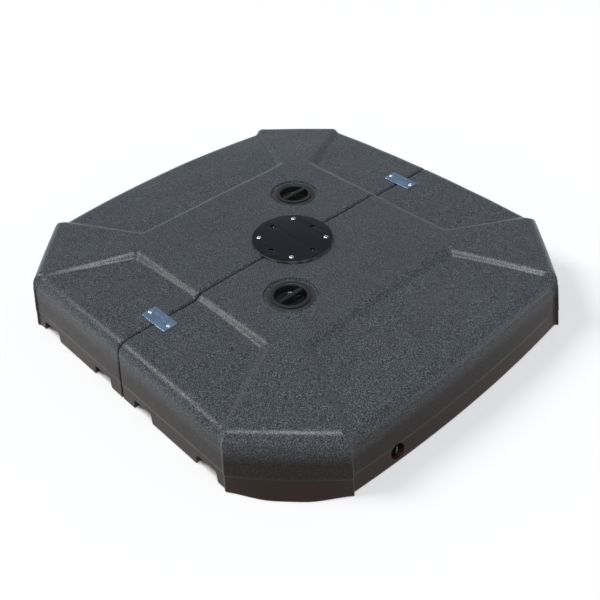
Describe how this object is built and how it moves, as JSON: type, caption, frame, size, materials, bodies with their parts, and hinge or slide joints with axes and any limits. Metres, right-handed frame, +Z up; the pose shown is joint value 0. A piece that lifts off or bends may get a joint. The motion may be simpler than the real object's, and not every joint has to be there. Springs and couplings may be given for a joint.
{
  "type": "parasol base",
  "caption": "Low square fillable base in two strapped tanks, with a round bolted plate that carries a side-pole parasol mast.",
  "frame": {"origin": "on the ground below the centre of the mast plate", "axes": "+Z up; the seam between the tanks lies in the YZ plane and +X points out of the right-hand tank"},
  "size_m": [1.032, 0.984, 0.1612],
  "materials": {
    "shell_plastic": "fine pebble grain, matte",
    "cap_plastic": "semi-gloss moulded",
    "collar_plastic": "satin moulded",
    "black_steel": "satin black powder coat",
    "zinc_steel": "blue-white zinc plate",
    "bright_steel": "bright plated",
    "brass": "turned",
    "rubber": "matte"
  },
  "bodies": {
    "root": {"shell_right": "shell_plastic", "shell_left": "shell_plastic", "mast_plate": "black_steel", "mast_plate_screws": "bright_steel", "mast_nuts": "zinc_steel", "plate_inserts_right": "brass", "strap_inserts_right": "brass", "joining_strap_front": "zinc_steel", "strap_screws_front": "bright_steel", "filler_collar_right": "collar_plastic", "drain_bush_right": "collar_plastic", "plate_inserts_left": "brass", "strap_inserts_left": "brass", "joining_strap_rear": "zinc_steel", "strap_screws_rear": "bright_steel", "filler_collar_left": "collar_plastic", "drain_bush_left": "collar_plastic"},
    "filler_lift_right": {"filler_seal_right": "rubber"},
    "filler_cap_right": {"filler_cap_right": "cap_plastic"},
    "drain_lift_right": {"drain_seal_right": "rubber"},
    "drain_plug_right": {"drain_plug_right": "cap_plastic"},
    "filler_lift_left": {"filler_seal_left": "rubber"},
    "filler_cap_left": {"filler_cap_left": "cap_plastic"},
    "drain_lift_left": {"drain_seal_left": "rubber"},
    "drain_plug_left": {"drain_plug_left": "cap_plastic"}
  },
  "joints": [
    {"name": "filler_rise_right", "type": "slide", "parent": "root", "child": "filler_lift_right", "axis": [0, 0, 1], "range_m": [0, 0.012]},
    {"name": "filler_turn_right", "type": "hinge", "parent": "filler_lift_right", "child": "filler_cap_right", "pos_m": [0.14, -0.138, 0.15], "axis": [0, 0, 1], "range_deg": [0, 722]},
    {"name": "drain_out_right", "type": "slide", "parent": "root", "child": "drain_lift_right", "axis": [1, 0, 0], "range_m": [0, 0.0075]},
    {"name": "drain_turn_right", "type": "hinge", "parent": "drain_lift_right", "child": "drain_plug_right", "pos_m": [0.4915, -0.212, 0.025], "axis": [1, 0, 0], "range_deg": [0, 1082]},
    {"name": "filler_rise_left", "type": "slide", "parent": "root", "child": "filler_lift_left", "axis": [0, 0, 1], "range_m": [0, 0.012]},
    {"name": "filler_turn_left", "type": "hinge", "parent": "filler_lift_left", "child": "filler_cap_left", "pos_m": [-0.14, 0.138, 0.15], "axis": [0, 0, 1], "range_deg": [0, 722]},
    {"name": "drain_out_left", "type": "slide", "parent": "root", "child": "drain_lift_left", "axis": [-1, 0, 0], "range_m": [0, 0.0075]},
    {"name": "drain_turn_left", "type": "hinge", "parent": "drain_lift_left", "child": "drain_plug_left", "pos_m": [-0.4915, 0.212, 0.025], "axis": [-1, 0, 0], "range_deg": [0, 1082]}
  ],
  "couplings": [
    {"joint": "filler_turn_right", "follows": "filler_rise_right", "rad_per_m": 1047.2},
    {"joint": "drain_turn_right", "follows": "drain_out_right", "rad_per_m": 2513.3},
    {"joint": "filler_turn_left", "follows": "filler_rise_left", "rad_per_m": 1047.2},
    {"joint": "drain_turn_left", "follows": "drain_out_left", "rad_per_m": 2513.3}
  ]
}
